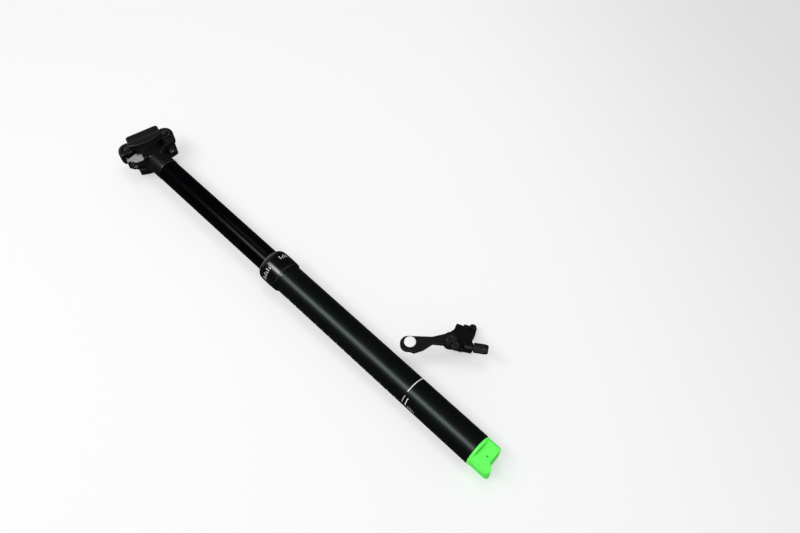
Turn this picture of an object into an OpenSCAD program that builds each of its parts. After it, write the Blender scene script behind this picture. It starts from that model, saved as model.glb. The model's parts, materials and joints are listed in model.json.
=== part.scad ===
// Dropper seatpost with its handlebar remote, lying on a table.
// Millimetres. +X runs along the post towards the saddle, +Y to the rear of the bike, +Z up off the table.
// The origin is on the post's axis, at the underside of the collar.

/* [Post] */
// Outside diameter of the lower tube, which fits the frame's seat tube
tube_d = 31.6; // [31.4:0.1:32.4]
// Length of the lower tube below the collar
tube_len = 260; // [260:1:300]
// Wall of the lower tube
tube_wall = 1.9; // [1.9:0.05:2.1]
// Outside diameter of the stanchion
stanchion_d = 25; // [24.8:0.1:25.3]
// Wall of the stanchion
stanchion_wall = 1.75; // [1.7:0.05:1.9]
// How far the saddle drops
travel = 170; // [125:1:170]
// How far the collar stands out from the lower tube
collar_step = 2.2; // [2:0.1:3.2]
// Height of the collar above its underside
collar_h = 24; // [24:0.5:28]

/* [Cartridge] */
// Outside diameter of the cartridge tube
cartridge_d = 19.5; // [19.3:0.1:19.8]
// Bore of the cartridge tube
cartridge_bore = 17; // [16.8:0.1:17.2]
// Diameter of the cartridge rod
rod_d = 8; // [7.8:0.1:8.4]
// Diameter of the valve pin inside the rod
valve_d = 2.4; // [2.2:0.1:2.4]

/* [Saddle clamp] */
// Diameter of the saddle rails
rail_d = 7; // [7:0.1:7.2]
// Distance between the two rails' centres
rail_gap = 44; // [43.5:0.5:46]
// Angle of the rails to a line square to the post
clamp_tilt = 15.5; // [15:0.5:18]
// Length of the clamp's side plates along the rails
clamp_len = 37; // [36:0.5:38]
// Distance of the rear clamp bolt from the clamp's middle
rear_reach = 21; // [20.6:0.1:21.4]
// Distance of the front clamp bolt from the clamp's middle
front_reach = 22.4; // [22:0.1:22.8]
// Diameter of the clamp bolts
bolt_d = 5; // [4.8:0.1:5.2]

/* [Guard cap] */
// Outside diameter of the guard cap
guard_d = 30.6; // [30.2:0.1:30.8]
// Wall of the guard cap
guard_wall = 1.6; // [1.4:0.1:1.7]

/* [Remote] */
// Diameter of the handlebar where the remote clamps
bar_d = 22.2; // [22.2:0.1:22.4]
// Wall of the bar clamp
bar_wall = 1.9; // [1.9:0.1:2.4]
// Thickness of the thumb lever
lever_t = 4.5; // [4:0.1:5.5]
// Diameter of the barrel adjuster
barrel_d = 10; // [9.6:0.1:10.4]

/* [Hidden] */

// General
fine = 96;
fit = 0.05;
face_gap = 0.03;
far = 60;

// Post
tube_r = tube_d / 2;
tube_bore_r = tube_r - tube_wall;
end_x = -tube_len;
end_bore_r = tube_bore_r + 0.4;
end_bore_len = 24;
spigot_r = tube_r - 0.6;
spigot_len = 10;
stanchion_r = stanchion_d / 2;
stanchion_bore_r = stanchion_r - stanchion_wall;
overlap_len = 63;
stanchion_low_x = -overlap_len;
neck_x = collar_h + travel + 3;
socket_x = neck_x - 12;
rail_x = neck_x + 37.2;
running = 0.05;

// Keys that stop the stanchion from turning
key_count = 3;
key_w = 4;
key_len = 12;
key_x = stanchion_low_x + 19;
key_seat_r = stanchion_r - 0.8;
key_out_r = tube_bore_r + 0.7;
groove_r = tube_bore_r + 0.9;
groove_side_gap = 0.15;
bush_seat_r = stanchion_r - 0.3;
bush_len = 14.5;

// Collar
collar_r = tube_r + collar_step;
collar_lip = 2;
collar_lip_r = tube_r + 0.6;
tube_top_x = -collar_lip - 0.2;
shoulder_x = spigot_len + 1.5;
pocket_x = shoulder_x + 3.5;
pocket_r = tube_r - 0.2;
top_round = 3.2;
top_edge_r = pocket_r + 0.6;

// Cartridge
cartridge_r = cartridge_d / 2;
cyl_r = cartridge_bore / 2;
rod_r = rod_d / 2;
rod_bore_r = valve_d / 2 + 0.4;
rod_step_r = rod_r - 1;
rod_low_x = end_x + 8.1;
cartridge_low_x = stanchion_low_x + 6;
lip_len = 2;
gland_x = cartridge_low_x + lip_len;
gland_len = 12.4;
seal_len = 2.5;
piston_x = gland_x + gland_len + seal_len + 2.1;
piston_len = 10;
nut_len = 3.8;
cartridge_top_x = socket_x - 14.3;
floating_x = piston_x + piston_len + nut_len + travel * (1 - pow(rod_r / cyl_r, 2)) + 1.9;
floating_len = 10;
ring_w = 2.8;
cartridge_bolt_r = 3;
cartridge_bolt_head_r = 4.6;
cartridge_thread_len = 11;
neck_len = 22;
cartridge_bolt_head_x = neck_x + neck_len - 1;

// Clamp frame: x is up through the saddle, y is to the rear, along the rails
clamp_y = -1.2;
tilt_u = 14;
seat_r = 22;
cradle_side_r = 45;
cradle_low_u = -8.6;
clamp_top_u = 9;
split_gap = 0.4;
clamp_half_z = rail_gap / 2 + rail_d / 2 + 1;
side_in_z = rail_gap / 2 - 4.5;
clamp_front_y = -clamp_len / 2 - 0.5;
clamp_rear_y = clamp_len / 2 - 0.5;
plate_round = 2.4;
plate_low_u = 3.6;
cradle_mid_y = 13;
boss_u = 9;
boss_r = 10.5;
boss_low_u = 3;
boss_half_z = 7.8;
boss_round = 1.8;
spine_low_u = 5;
spine_top_u = 13;
nut_r = 4.5;
nut_half_z = boss_half_z - 0.4;
slot_gap = 0.1;
slot_reach = 1;
bolt_slot_y = 4.8;
wing_top_u = -3.2;
wing_t = 4.2;
wing_low_u = wing_top_u - wing_t;
wing_rear_y = rear_reach + 6.5;
wing_front_y = front_reach + 7;
washer_t = 0.6;
washer_r = 4.8;
bolt_r = bolt_d / 2;
bolt_head_r = 4.3;
bolt_head_t = 4;
bolt_tip_u = 15;
neck_r = stanchion_r + 0.35;
head_half_z = 12;
flank_y = 9;
flank_len = 12.5;
flank_side = 16;
flank_down = 14.6;
pocket_y = 12.5;

// Actuator
base_low_x = end_x + 4;
ring_t = 1.55;
ring_groove_r = end_bore_r + 0.55;
ring_in_r = end_bore_r - 2.1;
ring_opening = 3;
lug_in_z = 3.4;
lug_out_z = 4.8;
lug_out_y = 10.8;
rocker_x = end_x - 4;
rocker_y = 4;
rocker_half_z = 3;
nub_r = 2.2;
cable_y = 9;
cable_x = rocker_x - 1;
barrel_r = 1.8;
rocker_pin_r = 1.5;

// Guard cap
guard_r = guard_d / 2;
guard_flat_z = 10;
guard_flange = 3;
guard_end = 17;
guard_tab = 23;
guard_tab_y = 5.5;
guard_side_y = 14.2;

// Remote, in its own frame: x to the barrel, y away from the thumb, z up off the table
remote_pos = [-171.1, -61.2, -17.9];
remote_turn = 223.97;
bar_at = [3.6, 10.9];
bar_r = bar_d / 2;
bar_out_r = bar_r + bar_wall;
bar_z = bar_out_r;
bar_len = 13;
bar_split_turn = -30;
bar_turn = -21;
hinge_p = -(bar_out_r + 1.3);
hinge_r = 2.3;
hinge_pin_r = 1.25;
clamp_bolt_p = bar_out_r + 3.3;
clamp_bolt_r = 2;
clamp_bolt_x = bar_len + 2.5;
lug_x0 = 6;
lug_x1 = clamp_bolt_x + 4;
lug_p = bar_r + 0.9;
hinge_gap = 0.1;
hinge_cut_p = hinge_p + hinge_r + 0.2;
plate_z = bar_z + 7.2;
plate_t = 6;
lever_z = plate_z + plate_t + 0.4;
lever_top_z = lever_z + lever_t;
pivot_r = 2.5;
lever_bush_r = 4.5;
anchor_at = [4.6, -7.6];
anchor_ear_r = 3.9;
lever_hub_r = 7;
paddle_at = [-41.3, -5.1];
paddle_r = 7.9;
lever_ear = [[-5.5, -2], [5.5, 2], [8.2, -6.5], [2.5, -10.6]];
lever_arm = [
    [-45.5, -11], [-35.5, -14.6], [-26.5, -11.4], [-17.6, -5.2], [-5, -6.5],
    [-2, 5.8], [-17.6, 1.9], [-28, 2.2], [-41, 2.7]
];
pad_at = [-39.4, -3.7];
pad_r = 5.7;
barrel_tilt = -10;
barrel_at = [22.3, -8.2];
barrel_z = plate_z + 7;
barrel_len = 14;
barrel_tip = 3;
barrel_bevel = 0.9;
stem_r = 3;

// Shapes used by several parts

module along_x() {
    rotate([0, 90, 0])
        children();
}

module turned(outline) {
    along_x()
        rotate_extrude($fn = fine)
            polygon(outline);
}

module ring_x(r_out, r_in, x0, x1) {
    turned([[r_in, x0], [r_out, x0], [r_out, x1], [r_in, x1]]);
}

module rod_x(r, x0, x1) {
    translate([x0, 0, 0])
        along_x()
            cylinder(r = r, h = x1 - x0, $fn = fine);
}

module pin_z(r, z0, z1) {
    translate([0, 0, z0])
        cylinder(r = r, h = z1 - z0, $fn = fine);
}

module in_clamp() {
    translate([rail_x, clamp_y, 0])
        rotate([0, 0, -clamp_tilt])
            children();
}

module block(low, high) {
    translate(low)
        cube(high - low);
}

module in_remote() {
    translate(remote_pos)
        rotate([0, 0, remote_turn])
            children();
}

module in_bar() {
    translate([bar_at[0], bar_at[1], bar_z])
        rotate([0, 0, bar_turn])
            rotate([bar_split_turn, 0, 0])
                children();
}

module in_barrel() {
    translate([barrel_at[0], barrel_at[1], barrel_z])
        rotate([0, 0, barrel_tilt])
            children();
}

// Lower tube and what stays with it

module lower_tube() {
    color("#16181a")
    difference() {
        turned([
            [0, end_x], [tube_r - 0.5, end_x], [tube_r, end_x + 0.5], [tube_r, tube_top_x],
            [spigot_r, tube_top_x], [spigot_r, spigot_len], [0, spigot_len]
        ]);
        rod_x(tube_bore_r, end_x - 1, spigot_len + 1);
        rod_x(end_bore_r, end_x - 1, end_x + end_bore_len);
        rod_x(ring_groove_r, base_low_x - ring_t - 0.1, base_low_x + 0.05);
        for (i = [0 : key_count - 1])
            rotate([90 + i * 360 / key_count, 0, 0])
                block(
                    [key_x - travel - 3, 0, -key_w / 2 - groove_side_gap],
                    [key_x + key_len + 7, groove_r, key_w / 2 + groove_side_gap]
                );
    }
}

module seal_collar() {
    color("#1c1e20")
    turned([
        [spigot_r + fit, -collar_lip], [collar_lip_r, -collar_lip], [collar_lip_r, -0.4],
        [collar_r - 0.5, -0.4], [collar_r, 0.1], [collar_r - 0.3, collar_h - top_round - 3],
        [collar_r - 0.6, collar_h - 2.4], [collar_r - 1, collar_h - 1.3],
        [top_edge_r + 0.3, collar_h - 0.5], [top_edge_r, collar_h],
        [pocket_r, collar_h], [pocket_r, pocket_x], [stanchion_r + 0.45, pocket_x],
        [stanchion_r + 0.45, shoulder_x], [spigot_r + fit, shoulder_x]
    ]);
}

module wiper_seal() {
    color("#101112")
    turned([
        [stanchion_r + 1, pocket_x + face_gap], [pocket_r - fit, pocket_x + face_gap],
        [pocket_r - fit, collar_h - 1], [stanchion_r + 1.6, collar_h - 0.8],
        [stanchion_r + 0.6, collar_h + 0.6], [stanchion_r + running, collar_h + 0.4],
        [stanchion_r + running, collar_h - 0.8], [stanchion_r + 1, collar_h - 2.4]
    ]);
}

module upper_bushing() {
    color("#8c7a4a")
    turned([
        [stanchion_r + running, -14], [tube_bore_r - fit, -14],
        [tube_bore_r - fit, spigot_len + face_gap], [spigot_r - 0.3, spigot_len + face_gap],
        [spigot_r - 0.3, shoulder_x - face_gap], [stanchion_r + running, shoulder_x - face_gap]
    ]);
}

module actuator_lug(z0) {
    translate([end_x, 0, z0])
        linear_extrude(lug_out_z - lug_in_z)
            polygon([
                [4.5, -2], [-6, -2], [-12, 7.6], [-17, 7.6], [-17, lug_out_y], [4.5, lug_out_y]
            ]);
}

module actuator_base() {
    color("#2b2e31")
    difference() {
        union() {
            rod_x(end_bore_r - fit, base_low_x, end_x + end_bore_len - face_gap);
            actuator_lug(lug_in_z);
            actuator_lug(-lug_out_z);
            block(
                [end_x - 17, 7.6, -lug_out_z],
                [end_x - 13.5, lug_out_y, lug_out_z]
            );
        }
        rod_x(rod_r + fit, rod_low_x - face_gap, end_x + far);
        rod_x(rod_bore_r, end_x - 1, end_x + far);
        translate([end_x - 20, cable_y, 0])
            rod_x(0.9, 0, 8);
        translate([rocker_x, rocker_y, 0])
            pin_z(rocker_pin_r + fit, -far, far);
    }
}

module base_retaining_ring() {
    color("#b8bcc0")
    difference() {
        ring_x(ring_groove_r - 0.1, ring_in_r, base_low_x - ring_t, base_low_x - face_gap);
        block(
            [base_low_x - 3, -ring_groove_r - 3, -ring_opening],
            [base_low_x + 1, -ring_in_r + 1.2, ring_opening]
        );
    }
}

module cartridge_rod() {
    color("#c9ccd0")
    difference() {
        union() {
            rod_x(rod_r, rod_low_x, piston_x);
            rod_x(rod_step_r, piston_x, piston_x + piston_len + nut_len + face_gap);
        }
        rod_x(rod_bore_r, rod_low_x - 1, far);
    }
}

module grooved_piston(r_out, r_hole, x0, length) {
    mid = x0 + length / 2;
    difference() {
        rod_x(r_out, x0, x0 + length);
        ring_x(r_out + 1, r_out - 1.1, mid - ring_w / 2 - face_gap, mid + ring_w / 2 + face_gap);
        if (r_hole > 0)
            rod_x(r_hole, x0 - 1, x0 + length + 1);
    }
}

module main_piston() {
    color("#9ea3a8")
        grooved_piston(cyl_r - 0.35, rod_step_r + fit, piston_x + face_gap, piston_len);
}

module piston_ring() {
    mid = piston_x + face_gap + piston_len / 2;
    color("#202224")
        ring_x(cyl_r - running, cyl_r - 1.4, mid - ring_w / 2, mid + ring_w / 2);
}

module rod_nut() {
    x0 = piston_x + piston_len + 2 * face_gap;
    color("#b8bcc0")
    difference() {
        translate([x0, 0, 0])
            along_x()
                cylinder(r = cyl_r - 2.5, h = nut_len - 0.2, $fn = 6);
        rod_x(rod_step_r + fit, x0 - 1, x0 + nut_len + 1);
    }
}

module bottom_bumper() {
    x0 = end_x + end_bore_len;
    color("#17181a")
        ring_x(tube_bore_r - 0.4, tube_bore_r - 3.1, x0, x0 + 2.4);
}

module rocker_pin() {
    color("#c9ccd0")
        translate([rocker_x, rocker_y, 0])
            pin_z(rocker_pin_r, -lug_out_z - 0.4, lug_out_z + 0.4);
}

// Actuator that opens the valve

module actuator_rocker() {
    color("#3a3d40")
    difference() {
        translate([0, 0, -rocker_half_z])
            linear_extrude(2 * rocker_half_z)
                union() {
                    translate([rocker_x, 0])
                        circle(r = nub_r, $fn = fine);
                    translate([rocker_x, rocker_y])
                        circle(r = 3, $fn = fine);
                    translate([cable_x, cable_y])
                        circle(r = 3, $fn = fine);
                    polygon([
                        [rocker_x - nub_r, 0], [rocker_x + nub_r, 0],
                        [rocker_x + 2.6, rocker_y], [cable_x + 2.6, cable_y],
                        [cable_x - 2.6, cable_y], [rocker_x - 2.6, rocker_y]
                    ]);
                }
        translate([rocker_x, rocker_y, 0])
            pin_z(rocker_pin_r + running, -far, far);
        translate([cable_x, cable_y, 0])
            pin_z(barrel_r + fit, -far, far);
        block([cable_x - 6, cable_y - 0.7, -0.7], [cable_x, cable_y + 0.7, 0.7]);
    }
}

module cable_barrel() {
    color("#c2a25a")
    difference() {
        translate([cable_x, cable_y, 0])
            pin_z(barrel_r, -rocker_half_z, rocker_half_z);
        translate([cable_x - 6, cable_y, 0])
            rod_x(0.65, 0, 12);
    }
}

module valve_pin() {
    color("#d4d7da")
        rod_x(valve_d / 2, rocker_x + nub_r + 0.3, piston_x + 8);
}

// Guard cap that is pulled off before the post goes into the frame

module guard_outline() {
    tab_r = (guard_side_y - guard_tab_y) / 2;
    translate([-guard_end + 3, -guard_r])
        square([guard_end - 4, guard_r + guard_side_y]);
    translate([-guard_end + 3, -guard_r + 4])
        circle(r = 3, $fn = fine);
    translate([-guard_end, -guard_r + 4])
        square([guard_end - 4, guard_r + guard_side_y - 4]);
    translate([-guard_tab + tab_r, guard_tab_y])
        square([guard_tab - 6, 2 * tab_r]);
    translate([-guard_tab + tab_r, guard_tab_y + tab_r])
        circle(r = tab_r, $fn = fine);
    difference() {
        translate([-guard_end - 4, guard_tab_y - 4])
            square([5, 5]);
        translate([-guard_end - 4, guard_tab_y - 4])
            circle(r = 4, $fn = fine);
    }
}

module guard_cap() {
    in_r = guard_r - guard_wall;
    color("#5fff5f")
    difference() {
        union() {
            rod_x(guard_r, end_x - guard_flange, end_x - face_gap);
            ring_x(end_bore_r - 0.1, in_r - 0.7, end_x - 1, end_x + 1.9);
            intersection() {
                rod_x(guard_r, end_x - guard_tab - 1, end_x - 1);
                translate([end_x, 0, -far])
                    linear_extrude(far + guard_flat_z)
                        guard_outline();
            }
        }
        rod_x(in_r - 0.7, end_x - guard_flange, end_x + 5);
        intersection() {
            rod_x(in_r, end_x - guard_end + guard_wall, end_x - guard_flange + 1);
            block([end_x - far, -far, -far], [end_x, guard_side_y - guard_wall, guard_flat_z - guard_wall]);
        }
        intersection() {
            rod_x(in_r, end_x - guard_tab + guard_wall + 1.4, end_x - guard_flange);
            block(
                [end_x - far, guard_tab_y + guard_wall, -far],
                [end_x, guard_side_y - guard_wall, guard_flat_z - guard_wall]
            );
        }
        block([end_x - 16, 9, 6.6], [end_x - guard_flange - 0.5, far, 7.4]);
        translate([end_x - 12, 1, 0])
            pin_z(1, guard_flat_z - guard_wall - 1, guard_flat_z + 1);
    }
}

// Stanchion and what slides with it

module stanchion() {
    color("#1a1c1f")
    difference() {
        union() {
            rod_x(bush_seat_r, stanchion_low_x, stanchion_low_x + bush_len + 0.6);
            rod_x(stanchion_r, stanchion_low_x + bush_len + 0.6, neck_x - face_gap);
        }
        rod_x(stanchion_bore_r, stanchion_low_x - 1, neck_x + 1);
        for (i = [0 : key_count - 1])
            rotate([90 + i * 360 / key_count, 0, 0])
                block(
                    [key_x - face_gap, key_seat_r, -key_w / 2 - face_gap],
                    [key_x + key_len + face_gap, stanchion_r + 2, key_w / 2 + face_gap]
                );
    }
}

module lower_bushing() {
    x0 = stanchion_low_x + 0.5;
    color("#8c7a4a")
        ring_x(tube_bore_r - running, bush_seat_r + fit, x0, x0 + bush_len);
}

module guide_keys() {
    color("#c2a25a")
    for (i = [0 : key_count - 1])
        rotate([90 + i * 360 / key_count, 0, 0])
            block(
                [key_x, key_seat_r + face_gap, -key_w / 2],
                [key_x + key_len, key_out_r, key_w / 2]
            );
}

module cartridge_tube() {
    color("#aeb3b8")
    turned([
        [cyl_r - 1.5, cartridge_low_x], [cartridge_r, cartridge_low_x],
        [cartridge_r, cartridge_top_x], [cyl_r, cartridge_top_x],
        [cyl_r, gland_x], [cyl_r - 1.5, gland_x]
    ]);
}

module rod_gland() {
    color("#9ea3a8")
        ring_x(cyl_r - fit, rod_r + running, gland_x + face_gap, gland_x + gland_len);
}

module rod_seal() {
    x0 = gland_x + gland_len + face_gap;
    color("#17181a")
        ring_x(cyl_r - fit, rod_r + running, x0, x0 + seal_len);
}

module cartridge_end_plug() {
    color("#9ea3a8")
    difference() {
        turned([
            [0, cartridge_top_x - 8], [cyl_r - fit, cartridge_top_x - 8],
            [cyl_r - fit, cartridge_top_x + face_gap], [cartridge_r, cartridge_top_x + face_gap],
            [cartridge_r, cartridge_top_x + 2], [cartridge_r - 0.8, cartridge_top_x + 2.8],
            [cartridge_r - 0.8, socket_x - face_gap], [0, socket_x - face_gap]
        ]);
        rod_x(cartridge_bolt_r + fit, socket_x - cartridge_thread_len - 1, socket_x + 1);
    }
}

module cartridge_bolt() {
    x0 = cartridge_bolt_head_x + face_gap;
    color("#2b2e31")
    difference() {
        union() {
            rod_x(cartridge_bolt_r, socket_x - cartridge_thread_len, x0 + 0.1);
            rod_x(cartridge_bolt_head_r, x0, x0 + 4);
        }
        translate([x0 + 1.6, 0, 0])
            along_x()
                cylinder(r = 2.6, h = 5, $fn = 6);
    }
}

module head_outline() {
    polygon([
        [wing_top_u + 1, wing_rear_y - 1.5], [wing_top_u - 1, wing_rear_y], [wing_low_u - 2.6, wing_rear_y - 0.6],
        [wing_low_u - 4.2, wing_rear_y - 2.4], [wing_low_u - 8.8, 7], [wing_low_u - 9.4, -12],
        [wing_low_u - 4.4, -15], [wing_low_u - 2.4, -wing_front_y + 3.8], [wing_low_u - 1.6, -wing_front_y + 1.8],
        [wing_low_u, -wing_front_y + 0.4], [wing_top_u - 1.4, -wing_front_y], [wing_top_u + 1, -wing_front_y + 2]
    ]);
}

module post_head() {
    pocket_half_z = washer_r + 1.6;
    color("#1b1d1f")
    difference() {
        union() {
            turned([
                [0, socket_x], [stanchion_bore_r - fit, socket_x], [stanchion_bore_r - fit, neck_x],
                [neck_r - 0.3, neck_x], [neck_r, neck_x + 0.5], [neck_r, neck_x + neck_len], [0, neck_x + neck_len]
            ]);
            in_clamp()
                translate([0, 0, -head_half_z])
                    linear_extrude(2 * head_half_z)
                        head_outline();
        }
        rod_x(cartridge_bolt_r + 0.2, socket_x - 1, rail_x);
        rod_x(cartridge_bolt_head_r + 0.4, cartridge_bolt_head_x, rail_x);
        in_clamp() {
            translate([tilt_u, 0, 0])
                pin_z(seat_r + fit, -far, far);
            block([wing_top_u, -far, -far], [far, far, far]);
            for (y = [-front_reach, rear_reach])
                translate([wing_low_u - 1, y, 0])
                    rod_x(bolt_r + 0.3, 0, far);
            block([wing_low_u - far, pocket_y, -pocket_half_z], [wing_low_u, far, pocket_half_z]);
            for (s = [-1, 1])
                translate([wing_top_u, flank_y, s * head_half_z])
                    rotate([-s * flank_side, -s * flank_down, 0])
                        block([-flank_len, 0, min(0, s * far)], [far, far, max(0, s * far)]);
            translate([wing_low_u - 5.2, -front_reach, 0])
                rod_x(bolt_head_r + 1.2, 0, 5.2);
            block(
                [wing_low_u - 5.2, -far, -bolt_head_r - 1.2],
                [wing_low_u, -front_reach, bolt_head_r + 1.2]
            );
        }
    }
}

module saddle_bolt(y) {
    head_u = wing_low_u - washer_t - 2 * face_gap;
    color("#24272a")
    in_clamp()
        translate([0, y, 0])
            difference() {
                union() {
                    rod_x(bolt_head_r, head_u - bolt_head_t, head_u);
                    rod_x(bolt_r, head_u - 0.1, bolt_tip_u);
                }
                translate([head_u - bolt_head_t - 1, 0, 0])
                    along_x()
                        cylinder(r = 2.3, h = 3.6, $fn = 6);
            }
}

module front_bolt() {
    saddle_bolt(-front_reach);
}

module rear_bolt() {
    saddle_bolt(rear_reach);
}

module bolt_washer(y) {
    color("#b8bcc0")
    in_clamp()
        translate([0, y, 0])
            ring_x(washer_r, bolt_r + 0.1, wing_low_u - washer_t - face_gap, wing_low_u - face_gap);
}

module front_washer() {
    bolt_washer(-front_reach);
}

module rear_washer() {
    bolt_washer(rear_reach);
}

module floating_piston() {
    color("#9ea3a8")
        grooved_piston(cyl_r - 0.35, 0, floating_x, floating_len);
}

module floating_ring() {
    mid = floating_x + floating_len / 2;
    color("#17181a")
        ring_x(cyl_r - running, cyl_r - 1.4, mid - ring_w / 2, mid + ring_w / 2);
}

// Saddle clamp

module rail_grooves() {
    for (s = [-1, 1])
        translate([0, -far, s * rail_gap / 2])
            rotate([-90, 0, 0])
                cylinder(r = rail_d / 2, h = 2 * far, $fn = fine);
}

module lower_cradle() {
    color("#1b1d1f")
    in_clamp()
        difference() {
            union() {
                intersection() {
                    translate([tilt_u, 0, 0])
                        pin_z(seat_r, -side_in_z - 1, side_in_z + 1);
                    block([-9, -cradle_mid_y, -30], [-split_gap, cradle_mid_y, 30]);
                }
                intersection() {
                    translate([cradle_side_r + cradle_low_u, 0, 0])
                        pin_z(cradle_side_r, -clamp_half_z, clamp_half_z);
                    union() {
                        block([-9, clamp_front_y - 1, side_in_z], [-split_gap, clamp_rear_y + 1, far]);
                        block([-9, clamp_front_y - 1, -far], [-split_gap, clamp_rear_y + 1, -side_in_z]);
                    }
                }
            }
            rail_grooves();
        }
}

module nut_boss(y) {
    rim = boss_r - boss_round;
    shoulder = boss_half_z - boss_round;
    intersection() {
        translate([boss_u, y, 0])
            rotate_extrude($fn = fine)
                polygon([
                    [0, -boss_half_z], [rim, -boss_half_z], [boss_r - 0.5, -shoulder - 1.3], [boss_r, -shoulder],
                    [boss_r, shoulder], [boss_r - 0.5, shoulder + 1.3], [rim, boss_half_z], [0, boss_half_z]
                ]);
        block([boss_low_u, -far, -far], [far, far, far]);
    }
}

module nut_slot(y) {
    slot_z = side_in_z - 0.5;
    translate([boss_u, y, 0]) {
        for (d = [-slot_reach, slot_reach])
            translate([0, d, 0])
                pin_z(nut_r + slot_gap, -slot_z, slot_z);
        block([-nut_r - slot_gap, -slot_reach, -slot_z], [nut_r + slot_gap, slot_reach, slot_z]);
        block([-far, -bolt_slot_y, -bolt_r - 0.6], [far, bolt_slot_y, bolt_r + 0.6]);
    }
}

module plate_outline() {
    inset = 0.3 * plate_round;
    polygon([
        [plate_low_u, clamp_front_y], [clamp_top_u - plate_round, clamp_front_y],
        [clamp_top_u - inset, clamp_front_y + inset], [clamp_top_u, clamp_front_y + plate_round],
        [clamp_top_u, clamp_rear_y - plate_round], [clamp_top_u - inset, clamp_rear_y - inset],
        [clamp_top_u - plate_round, clamp_rear_y], [plate_low_u, clamp_rear_y]
    ]);
}

module upper_clamp() {
    color("#1e2022")
    in_clamp()
        difference() {
            union() {
                translate([0, 0, -clamp_half_z])
                    linear_extrude(2 * clamp_half_z)
                        plate_outline();
                block([split_gap, clamp_front_y, side_in_z], [4, clamp_rear_y, clamp_half_z]);
                block([split_gap, clamp_front_y, -clamp_half_z], [4, clamp_rear_y, -side_in_z]);
                block([spine_low_u, -front_reach, -boss_half_z], [spine_top_u, rear_reach, boss_half_z]);
                nut_boss(-front_reach);
                nut_boss(rear_reach);
            }
            rail_grooves();
            nut_slot(-front_reach);
            nut_slot(rear_reach);
        }
}

module saddle_nut(y) {
    color("#b8bcc0")
    in_clamp()
        translate([boss_u, y, 0])
            difference() {
                pin_z(nut_r, -nut_half_z, nut_half_z);
                rod_x(bolt_r + running, -far, far);
            }
}

module front_nut() {
    saddle_nut(-front_reach);
}

module rear_nut() {
    saddle_nut(rear_reach);
}

// Handlebar remote

module bar_ring(q0, q1) {
    in_bar()
        intersection() {
            ring_x(bar_out_r, bar_r, 0, bar_len);
            block([-1, -far, q0], [bar_len + 1, far, q1]);
        }
}

module hinge_knuckle(x0, x1) {
    in_bar()
        translate([0, hinge_p, 0])
            rod_x(hinge_r, x0, x1);
}

module bar_space() {
    in_bar()
        rod_x(bar_r, -far, 2 * far);
}

module hinge_hole() {
    in_bar()
        translate([0, hinge_p, 0])
            rod_x(hinge_pin_r + fit, -far, far);
}

module remote_body() {
    third = bar_len / 3;
    color("#1d1f22")
    in_remote()
        difference() {
            union() {
                bar_ring(0.4, far);
                hinge_knuckle(0, third - 2 * hinge_gap);
                hinge_knuckle(2 * third + 2 * hinge_gap, bar_len);
                in_bar()
                    block([lug_x0, lug_p, 0.4], [lug_x1, clamp_bolt_p + 3.8, 4.4]);
                translate([0, 0, plate_z])
                    linear_extrude(plate_t)
                        union() {
                            circle(r = 7.5, $fn = fine);
                            polygon([
                                [0, -7.2], [barrel_at[0] - 2, barrel_at[1] - 3.6],
                                [barrel_at[0] + 0.3, bar_at[1] - 0.8], [bar_at[0] + 5.4, bar_at[1] + 5.2], [-4, 6]
                            ]);
                        }
                in_barrel()
                    rod_x(barrel_d / 2 - 0.6, -9, -0.8);
            }
            in_bar()
                rod_x(bar_r + 0.5, -far, 0);
            in_bar()
                rod_x(bar_r + 0.5, bar_len, far);
            bar_space();
            hinge_hole();
            in_bar() {
                translate([0, hinge_p, 0])
                    rod_x(hinge_r + 0.4, third - hinge_gap, 2 * third + hinge_gap);
                translate([clamp_bolt_x, clamp_bolt_p, 0])
                    pin_z(clamp_bolt_r + 0.2, -far, far);
            }
            pin_z(pivot_r + fit, plate_z + 1.5, far);
            in_barrel()
                rod_x(stem_r + running, -9.5, 2);
            in_barrel()
                rod_x(1.2, -far, 2);
        }
}

module bar_clamp() {
    third = bar_len / 3;
    color("#222427")
    in_remote()
        difference() {
            union() {
                bar_ring(-far, -0.4);
                hinge_knuckle(third, 2 * third);
                in_bar() {
                    block([third, hinge_p, -hinge_r + 0.5], [2 * third, -bar_r - 0.4, -0.4]);
                    block([lug_x0, lug_p, -5.4], [lug_x1, clamp_bolt_p + 3.8, -0.4]);
                }
            }
            bar_space();
            hinge_hole();
            in_bar() {
                block([-1, hinge_p - 4, -far], [third - hinge_gap, hinge_cut_p, far]);
                block([2 * third + hinge_gap, hinge_p - 4, -far], [bar_len + 1, hinge_cut_p, far]);
                translate([clamp_bolt_x, clamp_bolt_p, 0])
                    pin_z(clamp_bolt_r + fit, -far, far);
            }
        }
}

module clamp_hinge_pin() {
    color("#c9ccd0")
    in_remote()
        in_bar()
            translate([0, hinge_p, 0])
                rod_x(hinge_pin_r, 0, bar_len);
}

module clamp_bolt() {
    low = 4.4 + face_gap;
    color("#2b2e31")
    in_remote()
        in_bar()
            translate([clamp_bolt_x, clamp_bolt_p, 0])
                difference() {
                    union() {
                        pin_z(clamp_bolt_r, -6.4, low + 0.1);
                        pin_z(3.4, low, low + 3.6);
                    }
                    translate([0, 0, low + 1.4])
                        cylinder(r = 1.8, h = 3, $fn = 6);
                }
}

module lever_pivot_bolt() {
    low = lever_top_z + face_gap;
    color("#2b2e31")
    in_remote()
        difference() {
            union() {
                pin_z(pivot_r, plate_z + 1.7, low + 0.1);
                pin_z(lever_bush_r + 0.4, low, low + 2);
            }
            translate([0, 0, low + 0.8])
                cylinder(r = 2, h = 3, $fn = 6);
        }
}

module lever_slab(outline) {
    translate([0, 0, lever_z])
        linear_extrude(lever_t)
            polygon(outline);
}

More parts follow.
